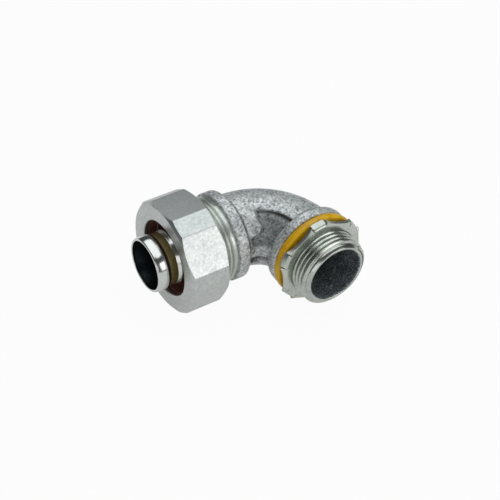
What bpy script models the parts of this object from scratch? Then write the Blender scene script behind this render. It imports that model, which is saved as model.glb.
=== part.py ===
# Ninety-degree liquidtight conduit connector, 3/4 trade size.
# Lengths are in metres. Both pipe axes lie in the plane z = 0 and cross at one point:
# the hub runs from there along -Y and the gland along -X. Distances along either
# axis are measured from that crossing.
import math

import bmesh
import bpy
from mathutils import Matrix, Vector

# Threaded hub and its flange
PIPE_THREAD_DIA = 0.02667
PIPE_THREAD_PITCH = 0.001814
PIPE_THREAD_DEPTH = 0.00115
HUB_LENGTH = 0.01454
HUB_END_CHAMFER = 0.0011
HUB_MOUTH_CHAMFER = 0.0004
FLANGE_DIA = 0.0328
FLANGE_THICKNESS = 0.00396
FLANGE_EDGE = 0.0006
BORE_DIA = 0.02046

# Cast bend
BEND_RADIUS = 0.019
TUBE_DIA = 0.0276
HUB_NECK = 0.0005
GLAND_NECK = 0.0024

# Hollowed throat on each side of the parting rib
RECESS_FLOOR_DIA = 0.0238
RECESS_LIP_RADIUS = 0.0138
RECESS_SWEEP_DEG = 56.0
RECESS_FOOT_HEIGHT = 0.0062
RECESS_FOOT_SWEEP_DEG = 86.0
RIB_HEIGHT = 0.0042

# Collar and gland thread
COLLAR_STEP = 0.0006
COLLAR_WIDTH = 0.0042
COLLAR_EDGE = 0.0004
GLAND_THREAD_PITCH = 0.0015875
GLAND_THREAD_DEPTH = 0.0008
GLAND_THREAD_LENGTH = 0.0124
GLAND_MOUTH_CHAMFER = 0.0009

# Clearances
SEAT_GAP = 0.0003
THREAD_CLEARANCE = 0.0003
PILOT_CLEARANCE = 0.00035

# Conduit that the gland takes, and the room left round it
CONDUIT_WALL = 0.0029
ENTRY_CLEARANCE = 0.00075
SEAL_CLEARANCE = 0.0004
CUP_CLEARANCE = 0.00035
TUBE_CLEARANCE = 0.0009

# Ferrule
FERRULE_TUBE_WALL = 0.0010
FERRULE_REACH = 0.01557
HEAD_STEP = 0.00075
HEAD_LENGTH = 0.0053
HEAD_EDGE = 0.0007
FERRULE_MOUTH_CHAMFER = 0.0004
CUP_WALL = 0.0009
CUP_FLOOR = 0.0009
CUP_DEPTH = 0.0024
CUP_FLARE = 0.0013
PILOT_LENGTH = 0.0013

# Sealing ring
SEAL_BAND = 0.00095
SEAL_WALL = 0.00215
SEAL_RADIAL_CLEARANCE = 0.0004

# Gland nut, which sets the diameters of all that it screws over
NUT_ACROSS_FLATS = 0.0394
NUT_WALL = 0.0034
NUT_LENGTH = 0.0151
NUT_LIP = 0.0017
NUT_SEAT_RISE = 0.0012
NUT_WIDE_FLAT_DEG = 41.0
NUT_TURN_DEG = -6.6
NUT_CORNER_CHAMFER = 0.0009
NUT_MOUTH_CHAMFER = 0.0004

# Hub gasket
GASKET_THICKNESS = 0.0029
GASKET_DIA = 0.0334
GASKET_EDGE = 0.0006

# Locknut
LUG_COUNT = 6
LUG_TURN_DEG = 38.0
LUG_WIDTH = 0.0050
LUG_ANGLE_DEG = 55.0
LUG_LENGTH = 0.0024
LUG_ROOM = 0.0003
LOCKNUT_SHEET = 0.0013
LOCKNUT_CORNER_RADIUS = 0.0177
LOCKNUT_FLAT_RADIUS = 0.0150
LOCKNUT_DISH = 0.0008
LUG_ROOT_RADIUS = 0.0156

SEGMENTS = 40
BEND_STEPS = 12
EDGE_STEPS = 5

# Diameters that follow the nut
GLAND_THREAD_DIA = NUT_ACROSS_FLATS - 2 * (NUT_WALL + THREAD_CLEARANCE)
COLLAR_DIA = GLAND_THREAD_DIA + 2 * COLLAR_STEP
SEAL_DIA = NUT_ACROSS_FLATS - 2 * (NUT_WALL + SEAL_RADIAL_CLEARANCE)
CONDUIT_DIA = SEAL_DIA - 2 * (SEAL_WALL + SEAL_CLEARANCE)
FERRULE_TUBE_DIA = CONDUIT_DIA - 2 * (CONDUIT_WALL + TUBE_CLEARANCE)

# Radii worked out from the diameters
BORE_R = BORE_DIA / 2
TUBE_R = TUBE_DIA / 2
FLANGE_R = FLANGE_DIA / 2
COLLAR_R = COLLAR_DIA / 2
PIPE_THREAD_R = PIPE_THREAD_DIA / 2
GLAND_THREAD_R = GLAND_THREAD_DIA / 2
CONDUIT_R = CONDUIT_DIA / 2
TUBE_OUT_R = FERRULE_TUBE_DIA / 2
CUP_R = CONDUIT_R + CUP_CLEARANCE

# Stations along the hub axis
FLANGE_BACK = BEND_RADIUS + HUB_NECK
FLANGE_FACE = FLANGE_BACK + FLANGE_THICKNESS
HUB_END = FLANGE_FACE + HUB_LENGTH
GASKET_BACK = FLANGE_FACE + SEAT_GAP
GASKET_FACE = GASKET_BACK + GASKET_THICKNESS

# Stations along the gland axis
COLLAR_BACK = BEND_RADIUS + GLAND_NECK
COLLAR_FACE = COLLAR_BACK + COLLAR_WIDTH
GLAND_MOUTH = COLLAR_FACE + GLAND_THREAD_LENGTH
CUP_BACK = GLAND_MOUTH + SEAT_GAP
CUP_BASE = CUP_BACK + CUP_FLOOR
FLARE_START = CUP_BASE + CUP_DEPTH
FLARE_END = FLARE_START + CUP_FLARE
FERRULE_MOUTH = CUP_BASE + FERRULE_REACH
BEVEL_GAP = SEAT_GAP * math.sqrt(2)


def make_material(name, color, metallic, roughness):
    material = bpy.data.materials.new(name)
    material.use_nodes = True
    shader = material.node_tree.nodes["Principled BSDF"]
    shader.inputs["Base Color"].default_value = (*color, 1.0)
    shader.inputs["Metallic"].default_value = metallic
    shader.inputs["Roughness"].default_value = roughness
    material.diffuse_color = (*color, 1.0)
    return material


def add_empty(name, collection, parent, rotation):
    empty = bpy.data.objects.new(name, None)
    empty.empty_display_size = COLLAR_R
    empty.parent = parent
    empty.rotation_euler = rotation
    collection.objects.link(empty)
    return empty


def add_object(name, mesh, collection, parent, material=None):
    piece = bpy.data.objects.new(name, mesh)
    piece.parent = parent
    collection.objects.link(piece)
    if material:
        mesh.materials.append(material)
    else:
        piece.hide_render = True
        piece.display_type = "WIRE"
    return piece


def finish_mesh(name, bm):
    bmesh.ops.recalc_face_normals(bm, faces=bm.faces[:])
    mesh = bpy.data.meshes.new(name)
    bm.to_mesh(mesh)
    bm.free()
    mesh.shade_smooth()
    mesh.set_sharp_from_angle(angle=math.radians(30))
    return mesh


def signed_area(points):
    pairs = zip(points, points[1:] + points[:1])
    return sum(a[0] * b[1] - b[0] * a[1] for a, b in pairs) / 2


def turned(name, profile, collection, parent, material=None):
    """Closed outline of (radius, distance) points, turned about the parent's local Z axis."""
    if signed_area(profile) > 0:
        profile = profile[::-1]
    bm = bmesh.new()
    corners = [bm.verts.new((radius, 0.0, distance)) for radius, distance in profile]
    for first, second in zip(corners, corners[1:] + corners[:1]):
        if first.co.x > 0 or second.co.x > 0:
            bm.edges.new((first, second))
    mesh = bpy.data.meshes.new(name)
    bm.to_mesh(mesh)
    bm.free()
    piece = add_object(name, mesh, collection, parent, material)
    screw = piece.modifiers.new("Turn", "SCREW")
    screw.axis = "Z"
    screw.angle = math.tau
    screw.steps = SEGMENTS
    screw.render_steps = SEGMENTS
    screw.use_merge_vertices = True
    screw.merge_threshold = 0.00001
    screw.use_smooth_shade = True
    return piece


def push_faces(bm, faces, offset):
    moved = bmesh.ops.extrude_face_region(bm, geom=faces)["geom"]
    points = [item for item in moved if isinstance(item, bmesh.types.BMVert)]
    bmesh.ops.translate(bm, verts=points, vec=offset)
    return [item for item in moved if isinstance(item, bmesh.types.BMFace)]


def bent_bar(name, radius, hub_reach, gland_reach, collection, parent, material=None):
    """Solid round bar that follows both pipe axes, with ends at the two reaches.

    Its facets are turned half a step from those of the turned pieces that it meets.
    """
    bm = bmesh.new()
    start = (Matrix.Translation((0.0, -hub_reach, 0.0)) @ Matrix.Rotation(math.pi / 2, 4, "X")
             @ Matrix.Rotation(math.pi / SEGMENTS, 4, "Z"))
    bmesh.ops.create_circle(bm, cap_ends=True, segments=SEGMENTS, radius=radius, matrix=start)
    bend_start = push_faces(bm, bm.faces[:], (0.0, hub_reach - BEND_RADIUS, 0.0))
    geometry = bend_start + list(bend_start[0].edges) + list(bend_start[0].verts)
    spun = bmesh.ops.spin(bm, geom=geometry, cent=(-BEND_RADIUS, -BEND_RADIUS, 0.0),
                          axis=(0.0, 0.0, 1.0), angle=math.pi / 2, steps=BEND_STEPS)
    bend_end = [item for item in spun["geom_last"] if isinstance(item, bmesh.types.BMFace)]
    push_faces(bm, bend_end, (BEND_RADIUS - gland_reach, 0.0, 0.0))
    inner = [face for face in bm.faces if all(len(edge.link_faces) > 2 for edge in face.edges)]
    bmesh.ops.delete(bm, geom=inner, context="FACES_ONLY")
    return add_object(name, finish_mesh(name, bm), collection, parent, material)


def combine(piece, other, operation):
    modifier = piece.modifiers.new(other.name, "BOOLEAN")
    modifier.operation = operation
    modifier.object = other
    modifier.solver = "EXACT"


def thread_rings(crest, depth, pitch, start, end):
    """Crest and root points of a straight thread drawn as rings, from start to end."""
    points = []
    for turn in range(int((end - start) / pitch)):
        points.append((crest, start + turn * pitch))
        points.append((crest - depth, start + (turn + 0.5) * pitch))
    points.append((crest, start + int((end - start) / pitch) * pitch))
    return points


def hub_profile():
    root = PIPE_THREAD_R - PIPE_THREAD_DEPTH
    rings = thread_rings(PIPE_THREAD_R, PIPE_THREAD_DEPTH, PIPE_THREAD_PITCH,
                         FLANGE_FACE + PIPE_THREAD_PITCH, HUB_END - HUB_END_CHAMFER)
    return [(0.0, FLANGE_BACK), (FLANGE_R - FLANGE_EDGE, FLANGE_BACK),
            (FLANGE_R, FLANGE_BACK + FLANGE_EDGE), (FLANGE_R, FLANGE_FACE - FLANGE_EDGE),
            (FLANGE_R - FLANGE_EDGE, FLANGE_FACE), (root, FLANGE_FACE),
            *rings, (root, HUB_END), (0.0, HUB_END)]


def gland_profile():
    root = GLAND_THREAD_R - GLAND_THREAD_DEPTH
    rings = thread_rings(GLAND_THREAD_R, GLAND_THREAD_DEPTH, GLAND_THREAD_PITCH,
                         COLLAR_FACE + GLAND_THREAD_PITCH, GLAND_MOUTH - GLAND_MOUTH_CHAMFER)
    return [(0.0, COLLAR_BACK), (COLLAR_R - COLLAR_EDGE, COLLAR_BACK),
            (COLLAR_R, COLLAR_BACK + COLLAR_EDGE), (COLLAR_R, COLLAR_FACE - COLLAR_EDGE),
            (COLLAR_R - COLLAR_EDGE, COLLAR_FACE), (root, COLLAR_FACE),
            *rings, (root, GLAND_MOUTH), (0.0, GLAND_MOUTH)]


def throat_cutter(name, height, sweep, collection, parent):
    """Two arcs of bar, above and below the parting rib, that open the throat to the recess floor."""
    bm = bmesh.new()
    inner = -BEND_RADIUS + (BEND_RADIUS - TUBE_R) / 2
    outer = -BEND_RADIUS + RECESS_LIP_RADIUS
    for low, high in ((RIB_HEIGHT / 2, height), (-height, -RIB_HEIGHT / 2)):
        corners = [bm.verts.new((x, -BEND_RADIUS, z))
                   for x, z in ((inner, low), (outer, low), (outer, high), (inner, high))]
        face = bm.faces.new(corners)
        start = Matrix.Rotation(-HUB_NECK / (outer + BEND_RADIUS), 3, "Z")
        centre = Vector((-BEND_RADIUS, -BEND_RADIUS, 0.0))
        bmesh.ops.rotate(bm, verts=corners, cent=centre, matrix=start)
        geometry = [face, *face.edges, *face.verts]
        bmesh.ops.spin(bm, geom=geometry, cent=centre, axis=(0.0, 0.0, 1.0),
                       angle=math.radians(sweep), steps=BEND_STEPS)
    return add_object(name, finish_mesh(name, bm), collection, parent)


def build_elbow(parts, cutters, frame, hub_axis, gland_axis):
    iron = make_material("galvanised_cast_iron", (0.46, 0.48, 0.49), 0.75, 0.48)
    body = bent_bar("elbow_body", TUBE_R, FLANGE_FACE - FLANGE_THICKNESS / 2,
                    COLLAR_FACE - COLLAR_WIDTH / 2, parts, frame, iron)
    core = bent_bar("recess_floor", RECESS_FLOOR_DIA / 2, FLANGE_FACE - FLANGE_THICKNESS / 3,
                    COLLAR_FACE - COLLAR_WIDTH / 3, cutters, frame)
    hub = turned("hub_blank", hub_profile(), cutters, hub_axis)
    gland = turned("gland_blank", gland_profile(), cutters, gland_axis)
    passage = bent_bar("passage", BORE_R, HUB_END + BORE_R, GLAND_MOUTH + BORE_R, cutters, frame)
    mouth = turned("hub_mouth_cutter", [
        (0.0, HUB_END - 2 * HUB_MOUTH_CHAMFER),
        (BORE_R - HUB_MOUTH_CHAMFER, HUB_END - 2 * HUB_MOUTH_CHAMFER),
        (BORE_R + 2 * HUB_MOUTH_CHAMFER, HUB_END + HUB_MOUTH_CHAMFER),
        (0.0, HUB_END + HUB_MOUTH_CHAMFER)], cutters, hub_axis)
    recess = throat_cutter("recess", TUBE_DIA, RECESS_SWEEP_DEG, cutters, frame)
    foot = throat_cutter("recess_foot", RECESS_FOOT_HEIGHT, RECESS_FOOT_SWEEP_DEG, cutters, frame)
    combine(body, recess, "DIFFERENCE")
    combine(body, foot, "DIFFERENCE")
    combine(body, core, "UNION")
    combine(body, hub, "UNION")
    combine(body, gland, "UNION")
    combine(body, passage, "DIFFERENCE")
    combine(body, mouth, "DIFFERENCE")
    return body


def build_ferrule(parts, gland_axis):
    steel = make_material("bright_plated_steel", (0.72, 0.72, 0.68), 1.0, 0.16)
    inner = TUBE_OUT_R - FERRULE_TUBE_WALL
    head = TUBE_OUT_R + HEAD_STEP
    head_start = FERRULE_MOUTH - HEAD_LENGTH
    edge = []
    for step in range(EDGE_STEPS):
        angle = math.pi / 2 * step / (EDGE_STEPS - 1)
        edge.append((head - HEAD_EDGE + HEAD_EDGE * math.cos(angle),
                     FERRULE_MOUTH - HEAD_EDGE + HEAD_EDGE * math.sin(angle)))
    profile = [(TUBE_OUT_R, CUP_BASE), (TUBE_OUT_R, head_start), (head, head_start + HEAD_STEP), *edge,
               (inner + FERRULE_MOUTH_CHAMFER, FERRULE_MOUTH),
               (inner, FERRULE_MOUTH - FERRULE_MOUTH_CHAMFER),
               (inner, CUP_BACK - PILOT_LENGTH), (BORE_R - PILOT_CLEARANCE, CUP_BACK - PILOT_LENGTH),
               (BORE_R - PILOT_CLEARANCE, CUP_BACK), (CUP_R + CUP_WALL, CUP_BACK),
               (CUP_R + CUP_WALL, FLARE_START), (CUP_R + CUP_WALL + CUP_FLARE, FLARE_END),
               (CUP_R + CUP_FLARE, FLARE_END), (CUP_R, FLARE_START), (CUP_R, CUP_BASE)]
    return turned("ferrule", profile, parts, gland_axis, steel)


def nut_seat(radius):
    """Distance of the nut's conical seat at a radius."""
    entry = CONDUIT_R + ENTRY_CLEARANCE
    bore = GLAND_THREAD_R + THREAD_CLEARANCE
    return nut_face() - NUT_LIP - NUT_SEAT_RISE * (radius - entry) / (bore - entry)


def seal_sizes():
    inner = CONDUIT_R + SEAL_CLEARANCE
    outer = SEAL_DIA / 2
    shoulder = FLARE_END + BEVEL_GAP
    return inner, outer, shoulder


def nut_face():
    """Front face of the nut, which stands off the sealing ring's front bevel by the seat gap."""
    inner, outer, shoulder = seal_sizes()
    entry = CONDUIT_R + ENTRY_CLEARANCE
    bore = GLAND_THREAD_R + THREAD_CLEARANCE
    rise = NUT_SEAT_RISE * (outer - entry) / (bore - entry)
    return shoulder + SEAL_BAND + BEVEL_GAP + rise + NUT_LIP


def build_seal(parts, gland_axis):
    nylon = make_material("brown_nylon", (0.12, 0.035, 0.02), 0.0, 0.35)
    inner, outer, shoulder = seal_sizes()
    step = CUP_R + CUP_FLARE
    profile = [(inner, shoulder - (step - inner)), (step, shoulder), (outer, shoulder),
               (outer, nut_seat(outer) - BEVEL_GAP), (inner, nut_seat(inner) - BEVEL_GAP)]
    return turned("sealing_ring", profile, parts, gland_axis, nylon)


def nut_corners():
    """Angles of the blank's twelve corners, a hexagon with its corners cut to short flats."""
    half = NUT_WIDE_FLAT_DEG / 2
    middles = [NUT_TURN_DEG + 60 * side for side in range(6)]
    return [math.radians(middle + turn) for middle in middles for turn in (-half, half)]


def prism(name, angles, radii, low, high, collection, parent, material=None):
    """Straight bar whose outline has a corner at each angle and radius, angle zero at local X."""
    bm = bmesh.new()
    outline = bmesh.ops.create_circle(bm, cap_ends=True, segments=len(angles), radius=1.0)["verts"]
    for corner, angle, radius in zip(outline, angles, radii):
        corner.co = (radius * math.cos(angle), radius * math.sin(angle), low)
    push_faces(bm, bm.faces[:], (0.0, 0.0, high - low))
    return add_object(name, finish_mesh(name, bm), collection, parent, material)


def build_nut(parts, cutters, gland_axis):
    zinc = make_material("zinc_plated_nut", (0.60, 0.62, 0.61), 0.9, 0.32)
    corner_r = NUT_ACROSS_FLATS / 2 / math.cos(math.radians(NUT_WIDE_FLAT_DEG / 2))
    face = nut_face()
    back = face - NUT_LENGTH
    entry = CONDUIT_R + ENTRY_CLEARANCE
    bore = GLAND_THREAD_R + THREAD_CLEARANCE
    flat_r = NUT_ACROSS_FLATS / 2
    angles = [-angle for angle in nut_corners()][::-1]
    nut = prism("gland_nut", angles, [corner_r] * len(angles), back, face, parts, gland_axis, zinc)
    slope = NUT_CORNER_CHAMFER / (corner_r - flat_r)
    wide = corner_r + NUT_CORNER_CHAMFER
    drop = slope * (wide - flat_r)
    turned_blank = turned("nut_turning", [
        (0.0, back), (flat_r, back), (wide, back + drop), (wide, face - drop), (flat_r, face),
        (0.0, face)], cutters, gland_axis)
    hollow = turned("nut_hollow", [
        (0.0, back - NUT_MOUTH_CHAMFER), (bore + 2 * NUT_MOUTH_CHAMFER, back - NUT_MOUTH_CHAMFER),
        (bore, back + NUT_MOUTH_CHAMFER), (bore, nut_seat(bore)), (entry, nut_seat(entry)),
        (entry, face - NUT_MOUTH_CHAMFER), (entry + 2 * NUT_MOUTH_CHAMFER, face + NUT_MOUTH_CHAMFER),
        (0.0, face + NUT_MOUTH_CHAMFER)], cutters, gland_axis)
    combine(nut, turned_blank, "INTERSECT")
    combine(nut, hollow, "DIFFERENCE")
    return nut


def build_gasket(parts, hub_axis):
    elastomer = make_material("yellow_elastomer", (0.70, 0.36, 0.01), 0.0, 0.45)
    inner = PIPE_THREAD_R + THREAD_CLEARANCE
    outer = GASKET_DIA / 2
    profile = [(inner, GASKET_BACK), (outer - GASKET_EDGE, GASKET_BACK),
               (outer, GASKET_BACK + GASKET_EDGE), (outer, GASKET_FACE - GASKET_EDGE),
               (outer - GASKET_EDGE, GASKET_FACE), (inner, GASKET_FACE)]
    return turned("hub_gasket", profile, parts, hub_axis, elastomer)


def locknut_outline():
    """Corners of the ring: straight between lugs, notched where each lug is bent back."""
    half = math.asin((LUG_WIDTH / 2 + LUG_ROOM) / LOCKNUT_CORNER_RADIUS)
    notch = math.asin((LUG_WIDTH / 2 + LUG_ROOM) / LUG_ROOT_RADIUS)
    angles = []
    radii = []
    for lug in range(LUG_COUNT):
        middle = math.radians(LUG_TURN_DEG) + lug * math.tau / LUG_COUNT
        angles += [middle - half, middle - notch, middle + notch, middle + half]
        radii += [LOCKNUT_CORNER_RADIUS, LUG_ROOT_RADIUS, LUG_ROOT_RADIUS, LOCKNUT_CORNER_RADIUS]
    return angles, radii


def build_locknut(parts, cutters, hub_axis):
    zinc = make_material("zinc_plated_locknut", (0.56, 0.58, 0.53), 0.9, 0.40)
    bend = math.radians(LUG_ANGLE_DEG)
    along = Vector((math.cos(bend), 0.0, -math.sin(bend)))
    root_r = LUG_ROOT_RADIUS - LOCKNUT_SHEET / 2 * math.sin(bend)
    reach = LOCKNUT_SHEET / 2 + LUG_LENGTH * math.sin(bend) + LOCKNUT_SHEET / 2 * math.cos(bend)
    face = GASKET_FACE + SEAT_GAP + reach
    bore = PIPE_THREAD_R + THREAD_CLEARANCE
    rim = LOCKNUT_CORNER_RADIUS + LOCKNUT_SHEET
    rim_drop = LOCKNUT_DISH * (rim - LOCKNUT_FLAT_RADIUS) / (LOCKNUT_CORNER_RADIUS - LOCKNUT_FLAT_RADIUS)
    ring = turned("locknut", [
        (bore, face - LOCKNUT_SHEET), (LOCKNUT_FLAT_RADIUS, face - LOCKNUT_SHEET),
        (rim, face - LOCKNUT_SHEET - rim_drop), (rim, face - rim_drop),
        (LOCKNUT_FLAT_RADIUS, face), (bore, face)], parts, hub_axis, zinc)
    angles, radii = locknut_outline()
    outline = prism("locknut_outline", angles, radii, face - 2 * reach, face + LOCKNUT_SHEET,
                    cutters, hub_axis)
    combine(ring, outline, "INTERSECT")
    for lug in range(LUG_COUNT):
        turn = Matrix.Rotation(math.radians(LUG_TURN_DEG) + lug * math.tau / LUG_COUNT, 4, "Z")
        middle = Vector((root_r, 0.0, face - LOCKNUT_SHEET / 2)) + along * LUG_LENGTH / 2
        size = Matrix.Diagonal((LUG_LENGTH, LUG_WIDTH, LOCKNUT_SHEET, 1.0))
        tilt = Matrix.Rotation(bend, 4, "Y")
        bm = bmesh.new()
        bmesh.ops.create_cube(bm, size=1.0, matrix=turn @ Matrix.Translation(middle) @ tilt @ size)
        name = f"lug_{lug + 1}"
        combine(ring, add_object(name, finish_mesh(name, bm), cutters, hub_axis), "UNION")
    return ring


def box_of(pieces):
    graph = bpy.context.evaluated_depsgraph_get()
    points = [piece.matrix_world @ vertex.co
              for piece in pieces for vertex in piece.evaluated_get(graph).data.vertices]
    low = Vector([min(point[axis] for point in points) for axis in range(3)])
    high = Vector([max(point[axis] for point in points) for axis in range(3)])
    return low, high


def main():
    for item in list(bpy.data.objects):
        bpy.data.objects.remove(item, do_unlink=True)
    parts = bpy.data.collections.new("liquidtight_elbow_connector")
    cutters = bpy.data.collections.new("cutters")
    for collection in (parts, cutters):
        bpy.context.scene.collection.children.link(collection)

    frame = add_empty("connector_frame", parts, None, (0.0, 0.0, 0.0))
    hub_axis = add_empty("hub_axis", parts, frame, (math.pi / 2, 0.0, 0.0))
    gland_axis = add_empty("gland_axis", parts, frame, (0.0, -math.pi / 2, 0.0))

    pieces = [build_elbow(parts, cutters, frame, hub_axis, gland_axis),
              build_ferrule(parts, gland_axis),
              build_seal(parts, gland_axis),
              build_nut(parts, cutters, gland_axis),
              build_gasket(parts, hub_axis),
              build_locknut(parts, cutters, hub_axis)]

    # The origin of the finished part is the bottom centre of its box.
    bpy.context.view_layer.update()
    low, high = box_of(pieces)
    frame.location = (-(low.x + high.x) / 2, -(low.y + high.y) / 2, -low.z)


main()
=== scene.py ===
import math

import bmesh
import bpy
from mathutils import Matrix, Vector, noise


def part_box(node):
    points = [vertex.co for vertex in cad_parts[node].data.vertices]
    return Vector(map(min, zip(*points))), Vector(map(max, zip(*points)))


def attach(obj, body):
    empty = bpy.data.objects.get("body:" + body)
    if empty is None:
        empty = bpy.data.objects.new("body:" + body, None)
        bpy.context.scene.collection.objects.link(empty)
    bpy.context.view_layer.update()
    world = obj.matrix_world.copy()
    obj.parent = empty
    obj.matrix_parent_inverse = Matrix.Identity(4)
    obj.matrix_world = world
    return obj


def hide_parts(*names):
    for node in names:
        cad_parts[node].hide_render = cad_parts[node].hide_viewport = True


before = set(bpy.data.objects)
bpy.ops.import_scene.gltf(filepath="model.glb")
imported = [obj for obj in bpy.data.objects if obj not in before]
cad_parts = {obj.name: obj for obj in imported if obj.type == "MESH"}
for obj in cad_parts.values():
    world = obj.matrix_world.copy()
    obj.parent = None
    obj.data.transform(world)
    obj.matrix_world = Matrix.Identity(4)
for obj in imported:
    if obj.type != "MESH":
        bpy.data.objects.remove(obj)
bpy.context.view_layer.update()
mm = 0.001  # shapes are worked out in millimetres and scaled once at the end

# axes
gasketLow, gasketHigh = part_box("hub_gasket")
ferruleLow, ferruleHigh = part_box("ferrule")
crossing = Vector(((gasketLow.x + gasketHigh.x) / 2,
                   (ferruleLow.y + ferruleHigh.y) / 2,
                   (gasketLow.z + gasketHigh.z) / 2))
toMetres = Matrix.Translation(crossing) @ Matrix.Scale(mm, 4)
# local Z runs out of each mouth and distances count from the crossing of the two axes
hubAxis = toMetres @ Matrix.Rotation(math.pi / 2, 4, "X")
glandAxis = toMetres @ Matrix.Rotation(-math.pi / 2, 4, "Y")


def along(start, end, count):
    return [start + (end - start) * step / (count - 1) for step in range(count)]


def ease(value):
    value = min(max(value, 0.0), 1.0)
    return value * value * (3 - 2 * value)


# material helpers
def srgb(code):
    parts = [int(code[place:place + 2], 16) / 255 for place in (1, 3, 5)]
    return tuple(p / 12.92 if p <= 0.04045 else ((p + 0.055) / 1.055) ** 2.4
                 for p in parts) + (1.0,)


def addNode(tree, kind, values=None, links=None, **settings):
    node = tree.nodes.new(kind)
    for name, value in settings.items():
        setattr(node, name, value)
    for socket, value in (values or {}).items():
        node.inputs[socket].default_value = value
    for socket, source in (links or {}).items():
        tree.links.new(source, node.inputs[socket])
    return node


def setRamp(node, stops):
    ramp = node.color_ramp
    for index, (place, code) in enumerate(stops):
        stop = ramp.elements[index] if index < 2 else ramp.elements.new(place)
        stop.position = place
        stop.color = srgb(code)


def startMaterial(name):
    material = bpy.data.materials.new(name)
    material.use_nodes = True
    tree = material.node_tree
    return material, tree, tree.nodes["Principled BSDF"]


noiseLow, noiseHigh = 0.35, 0.65  # nearly all of a noise texture lies between these


def grainyMetal(name, look):
    # a metal with a speckled skin: two sizes of grain in colour and roughness, the finer one raised
    material, tree, shader = startMaterial(name)
    place = addNode(tree, "ShaderNodeTexCoord").outputs["Object"]
    grain = addNode(tree, "ShaderNodeTexNoise", {"Scale": 1 / (look["grainMm"] * mm), "Detail": 3.0,
                                                 "Roughness": 0.55}, {"Vector": place})
    patches = addNode(tree, "ShaderNodeTexNoise", {"Scale": 1 / (look["patchMm"] * mm), "Detail": 2.0},
                      {"Vector": place})
    mixed = addNode(tree, "ShaderNodeMix", {"Factor": look["patchShare"]},
                    {"A": grain.outputs["Fac"], "B": patches.outputs["Fac"]}, data_type="FLOAT")
    ramp = addNode(tree, "ShaderNodeValToRGB", links={"Fac": mixed.outputs["Result"]})
    setRamp(ramp, look["colours"])
    colour = ramp.outputs["Color"]
    if "shadeTint" in look:  # the mesh's shade attribute darkens the colour towards shadeTint: painted shade
        marked = addNode(tree, "ShaderNodeAttribute", attribute_name="shade")
        tint = addNode(tree, "ShaderNodeMix", links={"Factor": marked.outputs["Fac"]}, data_type="RGBA",
                       blend_type="MULTIPLY")
        tree.links.new(colour, tint.inputs[6])  # 6, 7 and output 2 are the colour sockets of Mix
        tint.inputs[7].default_value = srgb(look["shadeTint"])
        colour = tint.outputs[2]
    tree.links.new(colour, shader.inputs["Base Color"])
    rough = addNode(tree, "ShaderNodeMapRange", {"From Min": noiseLow, "From Max": noiseHigh,
                                                 "To Min": look["rough"][0], "To Max": look["rough"][1]},
                    {"Value": mixed.outputs["Result"]})
    tree.links.new(rough.outputs["Result"], shader.inputs["Roughness"])
    bump = addNode(tree, "ShaderNodeBump", {"Strength": 1.0, "Distance": look["bumpMm"] * mm},
                   {"Height": grain.outputs["Fac"]})
    tree.links.new(bump.outputs["Normal"], shader.inputs["Normal"])
    shader.inputs["Metallic"].default_value = look["metallic"]
    return material


# hot-dip galvanised malleable iron, as cast: bright zinc over sand-mould grain, which is really about
# 0.25 mm and is drawn coarser so that it shows
castSkin = grainyMetal("galvanisedCastIron", {
    "grainMm": 0.80, "patchMm": 2.6, "patchShare": 0.26, "bumpMm": 0.10, "metallic": 0.5,
    # shadeTint is the colour of the painted shade laid into the casting's grooves, recesses and corners
    "rough": (0.58, 0.40), "shadeTint": "#4a4d4e",
    "colours": [(0.35, "#868b8c"), (0.45, "#b9bdbd"), (0.54, "#dadddd"), (0.66, "#f8f9f9")]})
# the same casting inside, where the sand core left it coarse, drawn in darker colours than the outside
castBore = grainyMetal("darkCoredCastIron", {
    "grainMm": 0.6, "patchMm": 2.4, "patchShare": 0.25, "bumpMm": 0.16, "metallic": 0.4,
    "rough": (0.7, 0.45),
    "colours": [(0.36, "#3c4347"), (0.48, "#697175"), (0.58, "#92989c"), (0.70, "#d6d9da")]})
# the plated metals below have a grain too fine to see, so it is drawn coarse and very shallow
# hub thread and hub end, cut after casting and zinc plated: smooth, slightly green-grey metal
cutZinc = grainyMetal("machinedZincPlate", {
    "grainMm": 0.7, "patchMm": 4.0, "patchShare": 0.7, "bumpMm": 0.004, "metallic": 0.95,
    "rough": (0.25, 0.18),
    "colours": [(0.34, "#adb3ac"), (0.5, "#bfc4bd"), (0.66, "#ced2cb")]})
# gland thread, cut and zinc plated but left unpolished: paler and duller than the hub's
dullZinc = grainyMetal("dullZincThread", {
    "grainMm": 0.7, "patchMm": 4.0, "patchShare": 0.5, "bumpMm": 0.01, "metallic": 0.9,
    "rough": (0.40, 0.32),
    "colours": [(0.34, "#c6cbc5"), (0.5, "#d4d8d2"), (0.66, "#e0e3dd")]})
# malleable iron nut, machined, zinc plated and tumbled: even satin with a faint grain
nutZinc = grainyMetal("satinZincPlatedIron", {
    "grainMm": 0.9, "patchMm": 4.0, "patchShare": 0.2, "bumpMm": 0.022, "metallic": 0.9,
    "rough": (0.36, 0.28),
    "colours": [(0.36, "#bcc2c3"), (0.5, "#c9cdcb"), (0.64, "#d5d7d4")]})
# pressed steel locknut, zinc plated: satin, greenish grey
pressedZinc = grainyMetal("satinZincPlatedSteel", {
    "grainMm": 0.6, "patchMm": 5.0, "patchShare": 0.5, "bumpMm": 0.012, "metallic": 0.9,
    "rough": (0.32, 0.24),
    "colours": [(0.34, "#bac1b8"), (0.5, "#c7cdc4"), (0.66, "#d2d8cf")]})
# ferrule: bright nickel-plated pressed steel, close to a mirror
brightSteel = grainyMetal("brightPlatedSteel", {
    "grainMm": 1.6, "patchMm": 6.0, "patchShare": 0.5, "bumpMm": 0.003, "metallic": 1.0,
    "rough": (0.2, 0.15),
    "colours": [(0.34, "#cfd2cf"), (0.5, "#d9dbd8"), (0.66, "#e1e2df")]})
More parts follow.
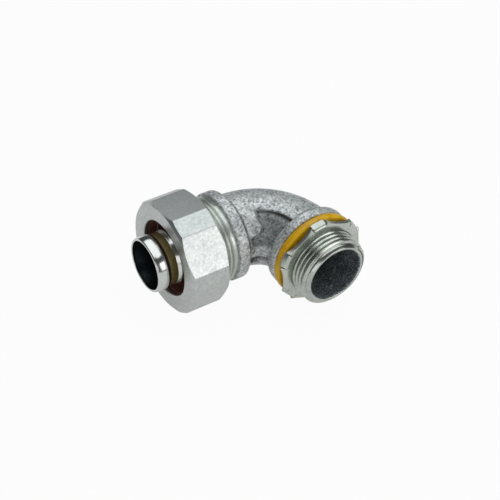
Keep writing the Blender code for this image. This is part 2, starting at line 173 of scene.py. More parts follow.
# inside the tube the steel is painted near black: painted shade in the deep bore
tubeBoreShade = grainyMetal("tubeBoreShade", {
    "grainMm": 1.2, "patchMm": 5.0, "patchShare": 0.6, "bumpMm": 0.004, "metallic": 0.6,
    "rough": (0.34, 0.24),
    "colours": [(0.34, "#1b2224"), (0.5, "#242c2e"), (0.66, "#323a3b")]})
# the ferrule's neck is painted olive: painted reflection of the brown seal and the nut's lip
neckReflectionSteel = grainyMetal("olivePaintedReflection", {
    "grainMm": 1.6, "patchMm": 5.0, "patchShare": 0.6, "bumpMm": 0.003, "metallic": 0.5,
    "rough": (0.26, 0.18),
    "colours": [(0.34, "#877848"), (0.5, "#978757"), (0.66, "#a8996d")]})


def mouldedPlastic(name, look):
    # a plastic with a faint mottle and a fine grain from its mould
    material, tree, shader = startMaterial(name)
    place = addNode(tree, "ShaderNodeTexCoord").outputs["Object"]
    mottle = addNode(tree, "ShaderNodeTexNoise", {"Scale": 1 / (look["patchMm"] * mm), "Detail": 4.0},
                     {"Vector": place})
    ramp = addNode(tree, "ShaderNodeValToRGB", links={"Fac": mottle.outputs["Fac"]})
    setRamp(ramp, look["colours"])
    tree.links.new(ramp.outputs["Color"], shader.inputs["Base Color"])
    fine = addNode(tree, "ShaderNodeTexNoise", {"Scale": 1 / (look["grainMm"] * mm), "Detail": 2.0},
                   {"Vector": place})
    bump = addNode(tree, "ShaderNodeBump", {"Strength": 1.0, "Distance": look["bumpMm"] * mm},
                   {"Height": fine.outputs["Fac"]})
    tree.links.new(bump.outputs["Normal"], shader.inputs["Normal"])
    shader.inputs["Roughness"].default_value = look["rough"]
    return material


# gasket: soft yellow moulded vinyl, slightly glossy
yellowVinyl = mouldedPlastic("yellowMouldedVinyl", {
    "patchMm": 3.5, "grainMm": 0.5, "bumpMm": 0.02, "rough": 0.38,
    "colours": [(0.35, "#e6aa02"), (0.5, "#f4bc06"), (0.65, "#fac90e")]})
# sealing ring: dark red-brown nylon, turned smooth
brownNylon = mouldedPlastic("brownNylon", {
    "patchMm": 3.0, "grainMm": 0.6, "bumpMm": 0.01, "rough": 0.35,
    "colours": [(0.35, "#7c4f4a"), (0.5, "#895a54"), (0.65, "#96665f")]})
print("materials ready")


# piece helpers
def finishPiece(name, bm, matrix, materials, body, node, flat=35):
    # edges that fold by more than flat degrees stay sharp
    bmesh.ops.transform(bm, matrix=matrix, verts=bm.verts)
    mesh = bpy.data.meshes.new(name)
    bm.to_mesh(mesh)
    bm.free()
    for material in materials:
        mesh.materials.append(material)
    mesh.shade_smooth()
    mesh.set_sharp_from_angle(angle=math.radians(flat))
    piece = bpy.data.objects.new(name, mesh)
    bpy.context.scene.collection.objects.link(piece)
    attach(piece, body)
    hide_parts(node)


def spinOutline(bm, outline, steps, corners=()):
    # closed outline of (radius, distance), some corners rounded, turned about local Z
    points = [bm.verts.new((radius, 0.0, distance)) for radius, distance in outline]
    edges = [bm.edges.new(pair) for pair in zip(points, points[1:] + points[:1])]
    for radius, chosen in corners:
        bmesh.ops.bevel(bm, geom=[points[index] for index in chosen], offset=radius, segments=5,
                        profile=0.5, affect="VERTICES", material=-1)
    bmesh.ops.spin(bm, geom=bm.verts[:] + bm.edges[:], cent=(0, 0, 0), axis=(0, 0, 1),
                   angle=math.tau, steps=steps, use_merge=True)
    bmesh.ops.recalc_face_normals(bm, faces=bm.faces)


def rolledSkin(rows, angles, place, shade=None):
    # a grid of rows by angles, rolled round and closed on itself by place(row, angle)
    bm = bmesh.new()
    layer = bm.verts.layers.float.new("shade") if shade else None
    bmesh.ops.create_grid(bm, x_segments=len(rows), y_segments=len(angles), size=0.5)
    for vert in bm.verts:
        row = round((vert.co.x + 0.5) * len(rows)) % len(rows)
        turn = round((vert.co.y + 0.5) * len(angles)) % len(angles)
        vert.co = place(rows[row], angles[turn])
        if shade:
            vert[layer] = shade(rows[row], angles[turn])
    bmesh.ops.remove_doubles(bm, verts=bm.verts, dist=0.0001)
    bmesh.ops.recalc_face_normals(bm, faces=bm.faces)
    return bm


# how deep the thread's foot is buried, how its crest's edges are eased, and over what share of a pitch
# it fades in
ridge = {"buried": 0.25, "edgeDrop": 0.08, "edgeOut": 0.05, "edgeIn": 0.04, "fade": 0.8}


def cutThread(name, matrix, thread, metal):
    # one helical ridge with a flat crest, fading in at its start and chamfered at the mouth
    bm = bmesh.new()
    pitch, crest, root = thread["pitch"], thread["crest"], thread["root"]
    foot = pitch / 2 - thread["rootFlat"] / 2
    buried = root - ridge["buried"]
    shoulder, outer, inner = crest - ridge["edgeDrop"], ridge["edgeOut"], ridge["edgeIn"]
    flat = thread["crestFlat"] / 2
    outline = [(buried, -foot), (root, -foot), (shoulder, -flat - outer), (crest, -flat + inner),
               (crest, flat - inner), (shoulder, flat + outer), (root, foot), (buried, foot)]
    start = thread["start"]
    points = [bm.verts.new((radius, 0.0, start + distance)) for radius, distance in outline]
    edges = [bm.edges.new(pair) for pair in zip(points, points[1:] + points[:1])]
    turns = (thread["end"] - start) / pitch
    steps = round(turns * thread["stepsPerTurn"])
    bmesh.ops.spin(bm, geom=points + edges, cent=(0, 0, 0), axis=(0, 0, 1),
                   dvec=(0, 0, (thread["end"] - start) / steps), angle=turns * math.tau, steps=steps)
    bmesh.ops.holes_fill(bm, edges=[edge for edge in bm.edges if edge.is_boundary], sides=0)
    for vert in bm.verts:
        radius = math.hypot(vert.co.x, vert.co.y)
        limit = crest - (vert.co.z - thread["chamferFrom"]) * thread["chamferSlope"]
        fade = ease((vert.co.z - start + pitch / 2) / (pitch * ridge["fade"]))
        wanted = min(buried + (radius - buried) * fade, max(limit, buried))
        vert.co.xy *= wanted / radius
    bmesh.ops.recalc_face_normals(bm, faces=bm.faces)
    finishPiece(name, bm, matrix, [metal], "connector_body", "elbow_body", flat=50)


# elbow casting
elbow = {
    "segments": 288, "bendRadius": 19.0, "tube": 13.8, "bore": 10.23,
    "hubEnd": 38.0, "hubRoot": 12.185, "hubMouth": 10.75, "hubRim": 11.4, "hubChamfer": 0.9,
    "rimRound": 0.16, "flangeFace": 23.46, "flangeBack": 19.5, "flange": 16.4, "flangeRound": 0.75,
    "glandMouth": 38.0, "glandRoot": 15.2, "glandRound": 0.4,
    "collarFace": 25.6, "collarBack": 21.4, "collar": 16.6, "collarRound": 0.55,
    "seam": 0.5, "seamDepth": 0.25, "seamGap": 0.2,
    "castRough": 0.07, "collarRough": 0.042, "boreRough": 0.12,
    "bigLumps": 0.45, "smallLumps": 1.3,  # fineness of the unevenness round the section, per millimetre
    "smallShare": 0.6, "mouthEnd": 1.6, "coreFrom": 0.6, "coreFade": 3,
    "legMargin": 0.02, "mouthSkin": 0.35, "boreSkin": 0.7}
# recess above and below the rib in the bend's throat: degrees count round the bend from the hub
recess = {"floor": 11.9, "lip": 13.8, "rib": 2.1, "end": 56.0, "footEnd": 86.0, "footHeight": 6.2,
          "footBlend": 2.0, "lipHeight": 8.5, "lipBlend": 3.0, "pastLip": 9.0, "ragged": 4.0,
          "raggedFineness": 0.4, "lumpSlope": 11.0, "last": 92.0,
          # the lip keys fade the painted shadow under the lip round the bend
          "lipFades": 34.0, "lipFadeSpan": 30.0, "lipFadeShare": 0.75,
          "creaseFrom": 48.0, "creaseFadeIn": 10, "creaseTo": 88.0, "creaseFadeOut": 20,
          "creaseWidth": 0.045, "creaseDepth": 0.18}
# strength of the painted shade, 0 to 1, in grooves, recesses, under the lip and in corners, and how far it
# reaches
paintedShade = {"seam": 0.6, "upperRecess": 0.5, "lowerRecess": 0.8, "lip": 0.9, "crease": 0.35, "corner": 0.75,
        "outsideLess": 0.4, "outsideFrom": 0.1, "outsideBlend": 0.6, "flangeReach": 2.0, "collarReach": 1.5,
        "reachBlend": 0.8}
bend = elbow["bendRadius"]
arc = bend * math.pi / 2
hubStraight = elbow["hubEnd"] - bend
fullRun = hubStraight + arc + elbow["glandMouth"] - bend


def hubRun(distance):
    return elbow["hubEnd"] - distance


def glandRun(distance):
    return fullRun - elbow["glandMouth"] + distance


def runFrame(run):
    # local X leans away from the bend's centre, local Y is up
    turn = min(max((run - hubStraight) / bend, 0.0), math.pi / 2)
    centre = Vector((-bend + bend * math.cos(turn), -bend + bend * math.sin(turn), 0.0))
    centre.y -= max(hubStraight - run, 0.0)
    centre.x -= max(run - hubStraight - arc, 0.0)
    return Matrix.Translation(centre) @ Matrix.Rotation(turn, 4, "Z") @ Matrix.Rotation(math.pi / 2, 4, "X")


def throat(run, angle):
    # how far the recess beside the rib has sunk, how close its lip is (only for the painted shadow under
    # it), and the crease past its end
    full, floor = elbow["tube"], recess["floor"]
    turn = math.degrees((run - hubStraight) / bend)
    inward = -math.cos(angle)
    if inward <= 0.05 or turn > recess["last"]:
        return 0.0, 0.0, 0.0
    upward = max(abs(math.sin(angle)), 0.001)
    height = full * upward
    lipWall = ease(((bend - recess["lip"]) / inward - floor) / (full - floor))
    ribWall = ease((recess["rib"] / upward - floor) / (full - floor))
    foot = 1 - ease((height - recess["footHeight"] + recess["footBlend"] / 2) / recess["footBlend"])
    nearLip = ease((height - recess["lipHeight"]) / recess["lipBlend"])
    end = recess["end"] + (recess["footEnd"] - recess["end"]) * foot + recess["pastLip"] * nearLip
    side = math.copysign(5.0, math.sin(angle))  # so that the two recesses end differently
    end += recess["ragged"] * noise.noise(Vector((height * recess["raggedFineness"], 3.0, side)))
    lump = ease((turn - end) / recess["lumpSlope"] + 0.5)
    depth = (1 - ribWall) * (1 - lump)
    if math.sin(angle) < 0:  # below the rib only the foot of the recess
        depth *= foot
    lipShare = 1 - recess["lipFadeShare"] * ease((turn - recess["lipFades"]) / recess["lipFadeSpan"])
    fromLip = math.acos(inward) - math.acos((bend - recess["lip"]) / full)
    crease = math.exp(-(fromLip / recess["creaseWidth"]) ** 2)
    crease *= (ease((turn - recess["creaseFrom"]) / recess["creaseFadeIn"])
               * ease((recess["creaseTo"] - turn) / recess["creaseFadeOut"]))
    return (1 - lipWall) * depth, 4 * lipWall * (1 - lipWall) * depth * lipShare, crease


def throatRadius(run, angle):
    sunk, _, crease = throat(run, angle)
    return elbow["tube"] - (elbow["tube"] - recess["floor"]) * sunk - recess["creaseDepth"] * crease


def cornerRows(corners, radius, count=4):
    # rows of (run, radius) round each corner of an outline given in (run, radius)
    rows = []
    for before, here, after in zip(corners, corners[1:], corners[2:]):
        here = Vector(here)
        back = (Vector(before) - here).normalized() * radius
        ahead = (Vector(after) - here).normalized() * radius
        for step in range(count + 1):
            share = step / count
            rows.append(here + back * (1 - share) ** 2 + ahead * share ** 2)
    return rows


hubFoot, hubBack = hubRun(elbow["flangeFace"]), hubRun(elbow["flangeBack"])
collarBack, collarFace = glandRun(elbow["collarBack"]), glandRun(elbow["collarFace"])
castRows = []  # each is (run, radius, roughness, zone), out along the outside and back along the bore


def addRows(points, rough, zone):
    castRows.extend((run, radius, rough, zone) for run, radius in points)


def straightRows(start, end, count, radius):
    return [(run, radius) for run in along(start, end, count)]


def seamRows(run, direction, shares):
    # shallow groove in the corner behind the flange or the collar
    return [(run + direction * elbow["seam"] * share,
             elbow["tube"] - elbow["seamDepth"] * math.sin(math.pi * share)) for share in shares]


hubRoot, glandRoot = elbow["hubRoot"], elbow["glandRoot"]
addRows(cornerRows([(0.0, elbow["hubMouth"]), (0.0, elbow["hubRim"]), (elbow["hubChamfer"], hubRoot),
                    (hubFoot, hubRoot)], elbow["rimRound"]), 0.0, "cut")
addRows(straightRows(elbow["mouthEnd"], hubFoot - 0.1, 12, hubRoot), 0.0, "cut")
addRows(cornerRows([(hubFoot, hubRoot), (hubFoot, elbow["flange"]), (hubBack, elbow["flange"]),
                    (hubBack, elbow["tube"])], elbow["flangeRound"]), elbow["castRough"], "cast")
addRows(seamRows(hubBack, 1, along(0.0, 1.0, 7)), 0.0, "seam")
seamEnd = elbow["seam"] + elbow["seamGap"]
addRows(straightRows(hubBack + seamEnd, collarBack - seamEnd, 118, elbow["tube"]),
        elbow["castRough"], "bend")
addRows(seamRows(collarBack, -1, along(1.0, 0.0, 7)), 0.0, "seam")
addRows(cornerRows([(collarBack, elbow["tube"]), (collarBack, elbow["collar"]),
                    (collarFace, elbow["collar"]), (collarFace, glandRoot)], elbow["collarRound"]),
        elbow["collarRough"], "cast")
addRows(straightRows(collarFace, fullRun - 0.6, 8, glandRoot), 0.0, "cut")
addRows(cornerRows([(collarFace, glandRoot), (fullRun, glandRoot), (fullRun, elbow["bore"])],
                   elbow["glandRound"]), 0.0, "cut")
for run in along(fullRun - 0.2, 0.9, 90):  # the bore is rough but for its first few millimetres
    addRows([(run, elbow["bore"])], elbow["boreRough"] * ease((run - elbow["coreFrom"]) / elbow["coreFade"]),
            "bore")
addRows(cornerRows([(elbow["mouthEnd"], elbow["bore"]), (0.5, elbow["bore"] + 0.05),
                    (0.0, elbow["hubMouth"]), (0.0, elbow["hubRim"])], 0.2), 0.0, "cut")


def castPoint(row, angle):
    run, radius, rough, zone = row
    if zone in ("bend", "seam"):
        radius = radius - elbow["tube"] + throatRadius(run, angle)
    spot = runFrame(run) @ Vector((math.cos(angle), math.sin(angle), 0.0))
    if rough:
        big = noise.noise(spot * radius * elbow["bigLumps"])
        small = noise.noise(spot * radius * elbow["smallLumps"] + Vector((7.0, 3.0, 1.0)))
        radius += rough * (big + elbow["smallShare"] * small)
    return runFrame(run) @ Vector((radius * math.cos(angle), radius * math.sin(angle), 0.0))


# painted shade: how far the casting's colour darkens towards shadeTint in the seam grooves, recess pockets,
# under the lip, along the crease and in the corners behind the flange and the collar
def castShade(row, angle):
    run, _, _, zone = row
    if zone == "seam":
        return paintedShade["seam"]
    if zone != "bend":
        return 0.0
    sunk, lip, crease = throat(run, angle)
    behindFlange = 1 - ease((run - hubBack - paintedShade["flangeReach"]) / paintedShade["reachBlend"])
    behindCollar = 1 - ease((collarBack - run - paintedShade["collarReach"]) / paintedShade["reachBlend"])
    outside = ease((math.cos(angle) - paintedShade["outsideFrom"]) / paintedShade["outsideBlend"])  # outside of the bend
    corner = (paintedShade["corner"] - paintedShade["outsideLess"] * outside) * max(behindFlange, behindCollar)
    pocket = paintedShade["upperRecess"] if math.sin(angle) > 0 else paintedShade["lowerRecess"]
    return min(pocket * sunk + paintedShade["lip"] * lip + paintedShade["crease"] * crease + corner, 1.0)


turns = [math.tau * step / elbow["segments"] for step in range(elbow["segments"])]
bm = rolledSkin(castRows, turns, castPoint, castShade)
castMetals = [castSkin, cutZinc, castBore, dullZinc]
mouthWall = elbow["bore"] + elbow["mouthSkin"]
for face in bm.faces:
    spot = face.calc_center_median()
    if spot.y < -elbow["flangeFace"] - elbow["legMargin"]:  # hub
        metal = castBore if math.hypot(spot.x, spot.z) < mouthWall else cutZinc
    elif spot.x < -elbow["collarFace"] - elbow["legMargin"]:  # gland leg
        metal = castBore if math.hypot(spot.y, spot.z) < mouthWall else dullZinc
    else:
        turn = min(max(math.atan2(spot.y + bend, spot.x + bend), 0.0), math.pi / 2)
        middle = Vector((-bend + bend * math.cos(turn), -bend + bend * math.sin(turn), 0.0))
        if spot.y < -bend:
            middle = Vector((0.0, spot.y, 0.0))
        if spot.x < -bend:
            middle = Vector((spot.x, 0.0, 0.0))
        metal = castBore if (spot - middle).length < elbow["bore"] + elbow["boreSkin"] else castSkin
    face.material_index = castMetals.index(metal)
finishPiece("elbowCasting", bm, toMetres, castMetals, "connector_body", "elbow_body", flat=60)

hubThread = {"pitch": 1.814, "crest": 13.335, "root": 12.185, "crestFlat": 0.36, "rootFlat": 0.3,
             "start": 24.3, "end": 37.2, "stepsPerTurn": 120,
             "chamferFrom": 36.6, "chamferSlope": 1.25}
cutThread("hubThread", hubAxis, hubThread, cutZinc)
glandThread = {"pitch": 1.5875, "crest": 16.0, "root": 15.2, "crestFlat": 0.32, "rootFlat": 0.28,
               "start": 26.3, "end": 37.3, "stepsPerTurn": 128,
               "chamferFrom": 36.9, "chamferSlope": 0.9}
cutThread("glandThread", glandAxis, glandThread, dullZinc)
print("elbow ready")

# ferrule and sealing ring
roundSteps = 160  # faces round a turned piece
ferrule = {"tube": 9.55, "wall": 1.0, "mouth": 54.76, "hole": 9.1, "mouthRoll": 0.55, "mouthInner": 0.2,
           "mouthStraight": 1.4, "mouthTaper": 2.6, "headStart": 49.45, "head": 10.3, "barrel": 0.24,
           "shoulder": 0.3, "shoulderStep": 0.05, "barb": 0.75, "barbBack": 45.0, "barbTop": 45.5,
           "barbFront": 46.75, "barbRound": 0.15, "cup": 13.7, "cupFloor": 39.2, "cupWall": 0.9,
           "cupTop": 41.6, "cupRound": 0.35, "flare": 1.3, "flareRound": 0.18, "pilot": 9.88,
           "pilotEnd": 37.0}
tube, mouth = ferrule["tube"], ferrule["mouth"]
bore = tube - ferrule["wall"]
cupBack = ferrule["cupFloor"] - ferrule["cupWall"]
cupOut = ferrule["cup"] + ferrule["cupWall"]
flareTop = ferrule["cupTop"] + ferrule["flare"]
bm = bmesh.new()
outline = [(tube, ferrule["cupFloor"]), (tube, ferrule["barbBack"]),
           (tube + ferrule["barb"], ferrule["barbTop"]),  # barb that holds the conduit
           (tube, ferrule["barbFront"]), (tube, ferrule["headStart"])]
headLength = mouth - ferrule["mouthRoll"] - ferrule["headStart"] - ferrule["shoulderStep"]
for share in along(0.0, 1.0, 19):  # barrel-shaped head with a steep shoulder
    rise = ease(share / ferrule["shoulder"])
    hollow = ferrule["barrel"] * (2 * share - 1) ** 2
    outline.append((tube + (ferrule["head"] - tube - hollow) * rise,
                    ferrule["headStart"] + ferrule["shoulderStep"] + headLength * share))
mouthOut = outline[-1][0]
for degrees in along(11.25, 90.0, 8):  # mouth rolled inward
    turn = math.radians(degrees)
    outline.append((mouthOut - ferrule["mouthRoll"] * (1 - math.cos(turn)),
                    mouth - ferrule["mouthRoll"] * (1 - math.sin(turn))))
for degrees in along(90.0, 180.0, 7):
    turn = math.radians(degrees)
    outline.append((ferrule["hole"] + ferrule["mouthInner"] * (1 + math.cos(turn)),
                    mouth - ferrule["mouthInner"] * (1 - math.sin(turn))))
outline += [(ferrule["hole"], mouth - ferrule["mouthStraight"]), (bore, mouth - ferrule["mouthTaper"]),
            (bore, ferrule["pilotEnd"]), (ferrule["pilot"], ferrule["pilotEnd"]),
            (ferrule["pilot"], cupBack), (cupOut, cupBack), (cupOut, ferrule["cupTop"]),
            (cupOut + ferrule["flare"], flareTop), (ferrule["cup"] + ferrule["flare"], flareTop),
            (ferrule["cup"], ferrule["cupTop"]), (ferrule["cup"], ferrule["cupFloor"])]
last = len(outline) - 1
spinOutline(bm, outline, roundSteps, [(ferrule["cupRound"], (0, last, last - 5)),
                                      (ferrule["flareRound"], (last - 2, last - 3)),
                                      (ferrule["barbRound"], (2, 3))])
ferruleFinishes = [brightSteel, neckReflectionSteel, brownNylon, tubeBoreShade]
for face in bm.faces:
    spot = face.calc_center_median()
    reach = math.hypot(spot.x, spot.y)
    onBarb = ferrule["barbBack"] < spot.z < ferrule["barbFront"]
    finish = brightSteel
    if reach > tube + 0.1 and spot.z < flareTop + 0.1:  # the cup is painted the seal's brown: painted shade and painted reflection of the seal
        finish = brownNylon
    # the neck gets the olive painted reflection
    elif reach > tube - 0.2 and spot.z < ferrule["headStart"] + ferrule["shoulderStep"] and not onBarb:
        finish = neckReflectionSteel
    # the tube's inside gets the near-black painted shade
    elif reach < ferrule["hole"] + 0.05 and spot.z < mouth - 0.3:
        finish = tubeBoreShade
    face.material_index = ferruleFinishes.index(finish)
finishPiece("ferruleSleeve", bm, glandAxis, ferruleFinishes, "connector_body", "ferrule")

seal = {"inner": 13.75, "outer": 15.9, "step": 15.0, "foot": 42.07, "shoulder": 43.32, "seat": 44.27,
        "seatSlope": 1.2 / 2.2, "rounding": 0.22}
bm = bmesh.new()
spinOutline(bm, [(seal["inner"], seal["foot"]), (seal["step"], seal["shoulder"]),
                 (seal["outer"], seal["shoulder"]), (seal["outer"], seal["seat"]),
                 (seal["inner"], seal["seat"] + (seal["outer"] - seal["inner"]) * seal["seatSlope"])],
            roundSteps, [(seal["rounding"], (0, 3, 4))])
finishPiece("sealingRing", bm, glandAxis, [brownNylon], "seal_body", "sealing_ring")
print("ferrule and seal ready")

# gland nut
nut = {"wide": 19.7, "wideDegrees": 41.0, "turn": -6.6, "face": 47.38, "back": 32.28,
       "chamfer": 0.9, "entry": 14.1, "bore": 16.3, "seatTop": 45.68, "seatFoot": 44.48, "boreMiddle": 40.0,
       "edgeSharpness": 800, "lip": 0.6}
halfStep = math.radians(30)  # a wide and a narrow flat in turn, six of each
halfWide = math.radians(nut["wideDegrees"] / 2)
cornerRadius = nut["wide"] / math.cos(halfWide)
halfNarrow = halfStep - halfWide
narrow = cornerRadius * math.cos(halfNarrow)
flats = []
nutAngles = []
for side in range(6):
    middle = math.radians(nut["turn"]) + 2 * halfStep * side
    flats += [(middle, nut["wide"]), (middle + halfStep, narrow)]
    for centre, half, count in ((middle, halfWide, 22), (middle + halfStep, halfNarrow, 12)):
        for step in range(count):  # closer together beside the corners
            nutAngles.append(centre - half * math.cos(math.pi * (step + 0.5) / count))


def nutOutline(angle):
    # distance from the axis to the twelve flats, with their edges a little rounded
    sharpness = nut["edgeSharpness"]
    total = sum(max(math.cos(angle - middle) * nut["wide"] / reach, 0.0) ** sharpness
                for middle, reach in flats)
    return nut["wide"] * total ** (-1 / sharpness)


slope = nut["chamfer"] / (cornerRadius - nut["wide"])
nutRows = [("backChamfer", share) for share in along(0.0, 0.9, 4)]
nutRows += [("side", share) for share in along(0.0, 1.0, 14)]
nutRows += [("frontChamfer", share) for share in along(0.1, 1.0, 4)]
nutRows += [("front", share) for share in along(0.03, 1.0, 6)]
nutRows += [("hole", radius, distance) for radius, distance in (
    (nut["entry"] + 0.4, nut["face"] - 0.03), (nut["entry"] + 0.12, nut["face"] - 0.25),
    (nut["entry"], nut["face"] - 0.5), (nut["entry"], nut["face"] - 1.1), (nut["entry"], nut["seatTop"]),
    (nut["bore"], nut["seatFoot"]), (nut["bore"], nut["boreMiddle"]), (nut["bore"], nut["back"] + 0.6),
    (nut["bore"] + 0.25, nut["back"] + 0.2))]
nutRows += [("back", share) for share in along(1.0, 0.03, 6)]


def nutPoint(row, angle):
    zone, share = row[0], row[1]
    reach = nutOutline(angle)
    depth = (reach - nut["wide"]) * slope
    if zone == "hole":
        radius, distance = row[1], row[2]
    elif zone == "side":
        radius = reach
        distance = nut["back"] + depth + (nut["face"] - nut["back"] - 2 * depth) * share
    elif zone == "backChamfer":
        radius, distance = nut["wide"] + (reach - nut["wide"]) * share, nut["back"] + depth * share
    elif zone == "frontChamfer":
        radius = reach + (nut["wide"] - reach) * share
        distance = nut["face"] - depth * (1 - share)
    else:
        distance = nut["face"] if zone == "front" else nut["back"]
        hole = (nut["entry"] if zone == "front" else nut["bore"]) + nut["lip"]
        radius = nut["wide"] + (hole - nut["wide"]) * share
    return Vector((radius * math.cos(angle), -radius * math.sin(angle), distance))


bm = rolledSkin(nutRows, nutAngles, nutPoint)
finishPiece("glandNut", bm, glandAxis, [nutZinc], "nut_body", "gland_nut", flat=14)
print("nut ready")

# gasket
gasket = {"inner": 13.635, "outer": 16.7, "back": 23.76, "face": 26.66, "rounding": 0.95, "uneven": 0.05}
bm = bmesh.new()
spinOutline(bm, [(gasket["inner"], gasket["back"]), (gasket["outer"], gasket["back"]),
                 (gasket["outer"], gasket["face"]), (gasket["inner"], gasket["face"])],
            roundSteps, [(gasket["rounding"], (1, 2))])
for vert in bm.verts:
    vert.co += vert.normal * gasket["uneven"] * noise.noise(vert.co * 0.35)
finishPiece("hubGasket", bm, hubAxis, [yellowVinyl], "gasket_body", "hub_gasket")

# locknut
locknut = {"threadRoom": 0.15, "face": 29.95, "sheet": 1.3, "flat": 15.0, "corner": 17.58, "dish": 0.8,
           "dishCurve": 1.3, "scallop": 0.55, "lugs": 6, "lugTurn": 38.0, "lugWidth": 5.0, "lugRoom": 0.75,
           "lugRoot": 15.3, "lugFrom": 14.6, "lugBendAt": 15.6, "lugBend": 76.0, "bendRadius": 0.75,
           "lugTip": 1.72, "lugRound": 0.14}
lugStep = math.tau / locknut["lugs"]
halfLug = locknut["lugWidth"] / 2 + locknut["lugRoom"]
cornerHalf = math.asin(halfLug / locknut["corner"])
notchHalf = math.asin(halfLug / locknut["lugRoot"])
ringAngles = []
for lug in range(locknut["lugs"]):
    middle = math.radians(locknut["lugTurn"]) + lugStep * lug
    ringAngles += [middle + offset for offset in along(-notchHalf + 0.02, notchHalf - 0.02, 9)]
    ringAngles += [middle + offset for offset in along(cornerHalf, lugStep - cornerHalf, 19)]


def ringOutline(angle):
    # distance from the axis to the plate's edge: scalloped between lugs, cut back at each lug
    half = lugStep / 2
    offset = (angle - math.radians(locknut["lugTurn"]) + half) % lugStep - half
    if abs(offset) < cornerHalf - 0.001:
        return locknut["lugRoot"] / math.cos(offset)
    halfSpan = half - cornerHalf
    chord = locknut["corner"] * math.cos(halfSpan)
    fromMiddle = half - abs(offset)
    return chord / math.cos(fromMiddle) - locknut["scallop"] * (1 - (fromMiddle / halfSpan) ** 4)


def insideThread(distance, angle):
    # radius of the locknut's own thread, which follows the hub's with a little room round it
    pitch = hubThread["pitch"]
    phase = ((distance - hubThread["start"]) / pitch - angle / math.tau) % 1.0
    fromCrest = min(phase, 1 - phase) * pitch
    flank = pitch / 2 - (hubThread["crestFlat"] + hubThread["rootFlat"]) / 2
    share = min(max((fromCrest - hubThread["crestFlat"] / 2) / flank, 0.0), 1.0)
    return hubThread["crest"] - (hubThread["crest"] - hubThread["root"]) * share + locknut["threadRoom"]


plateRows = [(share, 0.0) for share in (0.0, 0.1, 0.3, 0.6, 0.86, 0.95)]
plateRows += [(1.0, depth) for depth in (0.12, 0.4, 0.9, 1.18)]
plateRows += [(share, locknut["sheet"]) for share in (0.95, 0.86, 0.6, 0.3, 0.1, 0.0)]
plateRows += [(0.0, depth) for depth in along(1.2, 0.1, 10)]


def platePoint(row, angle):
    share, depth = row
    inner = insideThread(locknut["face"] - depth, angle)
    if depth in (0.0, locknut["sheet"]):
        inner += locknut["threadRoom"]
    radius = inner + (ringOutline(angle) - inner) * share
    beyond = max(radius - locknut["flat"], 0.0) / (locknut["corner"] - locknut["flat"])
    distance = locknut["face"] - depth - locknut["dish"] * beyond ** locknut["dishCurve"]
    return Vector((radius * math.cos(angle), radius * math.sin(angle), distance))


bm = rolledSkin(plateRows, ringAngles, platePoint)
lugMesh = bmesh.new()
bendAngle = math.radians(locknut["lugBend"])
half = locknut["sheet"] / 2
spine = [(locknut["lugFrom"], 0.0, 0.0), (locknut["lugBendAt"], 0.0, 0.0)]  # radius, distance, slope
for turn in along(bendAngle / 5, bendAngle, 5):  # the bend itself
    spine.append((locknut["lugBendAt"] + locknut["bendRadius"] * math.sin(turn),
                  -locknut["bendRadius"] * (1 - math.cos(turn)), turn))
tipR, tipD, turn = spine[-1]
spine.append((tipR + locknut["lugTip"] * math.cos(turn), tipD - locknut["lugTip"] * math.sin(turn), turn))
upper = [(r + half * math.sin(turn), d + half * math.cos(turn)) for r, d, turn in spine]
lower = [(r - half * math.sin(turn), d - half * math.cos(turn)) for r, d, turn in spine]
middle = locknut["face"] - half - 0.02
points = [lugMesh.verts.new((r, 0.0, middle + d)) for r, d in upper + lower[::-1]]
sideFace = lugMesh.faces.new(points)
lugArc = locknut["lugWidth"] / (locknut["lugBendAt"] + 0.4)  # the width is measured at the bend's middle
bmesh.ops.rotate(lugMesh, verts=lugMesh.verts, cent=(0, 0, 0), matrix=Matrix.Rotation(
    math.radians(locknut["lugTurn"]) - lugArc / 2, 3, "Z"))
bmesh.ops.spin(lugMesh, geom=[sideFace, *sideFace.edges, *sideFace.verts], cent=(0, 0, 0),
               axis=(0, 0, 1), angle=lugArc, steps=8)
bmesh.ops.recalc_face_normals(lugMesh, faces=lugMesh.faces)
rims = [edge for edge in lugMesh.edges if edge.calc_face_angle(0.0) > math.radians(40)]
bmesh.ops.bevel(lugMesh, geom=rims, offset=locknut["lugRound"], segments=3, profile=0.5, affect="EDGES",
                material=-1)
lugCopy = bpy.data.meshes.new("lugCopy")
for lug in range(locknut["lugs"]):
    lugMesh.to_mesh(lugCopy)
    bm.from_mesh(lugCopy)
    bmesh.ops.rotate(lugMesh, verts=lugMesh.verts, cent=(0, 0, 0),
                     matrix=Matrix.Rotation(lugStep, 3, "Z"))
lugMesh.free()
bpy.data.meshes.remove(lugCopy)
finishPiece("locknutRing", bm, hubAxis, [pressedZinc], "locknut_body", "locknut", flat=30)
print("gasket and locknut ready")

# floor, light and camera
studio = {"floorSize": 3.0, "floorColour": "#e9e9e7", "floorRough": 0.9, "floorGlow": 0.95,
          "floorMirrored": 0.5, "room": (0.80, 0.82, 0.84, 1.0), "roomStrength": 0.07}
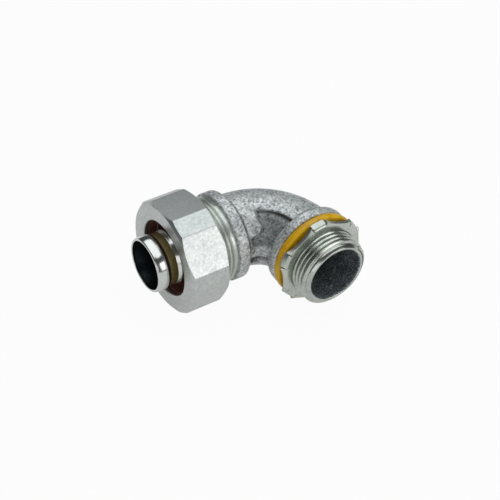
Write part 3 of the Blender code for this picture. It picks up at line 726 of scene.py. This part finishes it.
# place from the crossing of the axes, width, height, glow as a mirror would show it, and colour
panels = {"topPanel": ((0.10, 0.10, 0.55), 0.80, 0.88, 1.24, (0.95, 0.99, 1.0)),
          "frontPanel": ((0.22, -0.50, 0.19), 0.40, 0.30, 2.0, (1.0, 1.0, 1.0)),
          "fillPanel": ((-0.44, -0.48, 0.17), 0.80, 0.30, 1.0, (1.0, 1.0, 1.0))}
white = (1.0, 1.0, 1.0, 1.0)
bm = bmesh.new()
bmesh.ops.create_grid(bm, x_segments=1, y_segments=1, size=studio["floorSize"] / 2)
floorMesh = bpy.data.meshes.new("paleFloor")
bm.to_mesh(floorMesh)
bm.free()
floor = bpy.data.objects.new("paleFloor", floorMesh)
bpy.context.scene.collection.objects.link(floor)
floorPaint, tree, shader = startMaterial("paleStudioFloor")
shader.inputs["Base Color"].default_value = srgb(studio["floorColour"])
shader.inputs["Roughness"].default_value = studio["floorRough"]
glow = addNode(tree, "ShaderNodeEmission", {"Color": white, "Strength": 1.0})
rays = addNode(tree, "ShaderNodeLightPath")
mirrored = addNode(tree, "ShaderNodeMath", {1: studio["floorMirrored"]}, {0: rays.outputs["Is Glossy Ray"]},
                   operation="MULTIPLY")
seen = addNode(tree, "ShaderNodeMath", links={0: rays.outputs["Is Camera Ray"], 1: mirrored.outputs[0]},
               operation="MAXIMUM")
seen = addNode(tree, "ShaderNodeMath", links={0: seen.outputs[0], 1: rays.outputs["Is Transmission Ray"]},
               operation="MAXIMUM")
share = addNode(tree, "ShaderNodeMath", {1: studio["floorGlow"]}, {0: seen.outputs[0]}, operation="MULTIPLY")
blend = addNode(tree, "ShaderNodeMixShader", links={0: share.outputs[0], 1: shader.outputs[0],
                                                    2: glow.outputs[0]})
tree.links.new(blend.outputs[0], tree.nodes["Material Output"].inputs["Surface"])
floorMesh.materials.append(floorPaint)

world = bpy.data.worlds.new("studioRoom")
world.use_nodes = True
bpy.context.scene.world = world
tree = world.node_tree
dim = tree.nodes["Background"]
dim.inputs["Color"].default_value = studio["room"]
dim.inputs["Strength"].default_value = studio["roomStrength"]
backdrop = addNode(tree, "ShaderNodeBackground", {"Color": white, "Strength": 1.0})  # white past the floor
rays = addNode(tree, "ShaderNodeLightPath")
seen = addNode(tree, "ShaderNodeMath", links={0: rays.outputs["Is Camera Ray"],
                                              1: rays.outputs["Is Transmission Ray"]}, operation="MAXIMUM")
blend = addNode(tree, "ShaderNodeMixShader", links={0: seen.outputs[0], 1: dim.outputs[0],
                                                    2: backdrop.outputs[0]})
tree.links.new(blend.outputs[0], tree.nodes["World Output"].inputs["Surface"])

for name, (offset, width, height, glow, colour) in panels.items():
    lamp = bpy.data.lights.new(name, "AREA")
    lamp.color = colour
    lamp.shape = "RECTANGLE"
    lamp.size = width
    lamp.size_y = height
    lamp.energy = glow * math.pi * width * height
    panel = bpy.data.objects.new(name, lamp)
    panel.location = crossing + Vector(offset)
    panel.rotation_euler = (-Vector(offset)).to_track_quat("-Z", "Y").to_euler()
    bpy.context.scene.collection.objects.link(panel)

photoView = {"lens": 88.26, "sensor": 36.0, "place": (-0.18713, -0.26750, 0.31014),
             "degrees": (48.128, -2.320, -33.239)}
camera = bpy.data.cameras.new("photoCamera")
camera.lens = photoView["lens"]
camera.sensor_width = photoView["sensor"]
camera.clip_start = 0.01
viewer = bpy.data.objects.new("photoCamera", camera)
viewer.location = photoView["place"]
viewer.rotation_euler = [math.radians(degrees) for degrees in photoView["degrees"]]
bpy.context.scene.collection.objects.link(viewer)
bpy.context.scene.camera = viewer
bpy.context.scene.view_settings.view_transform = "Standard"
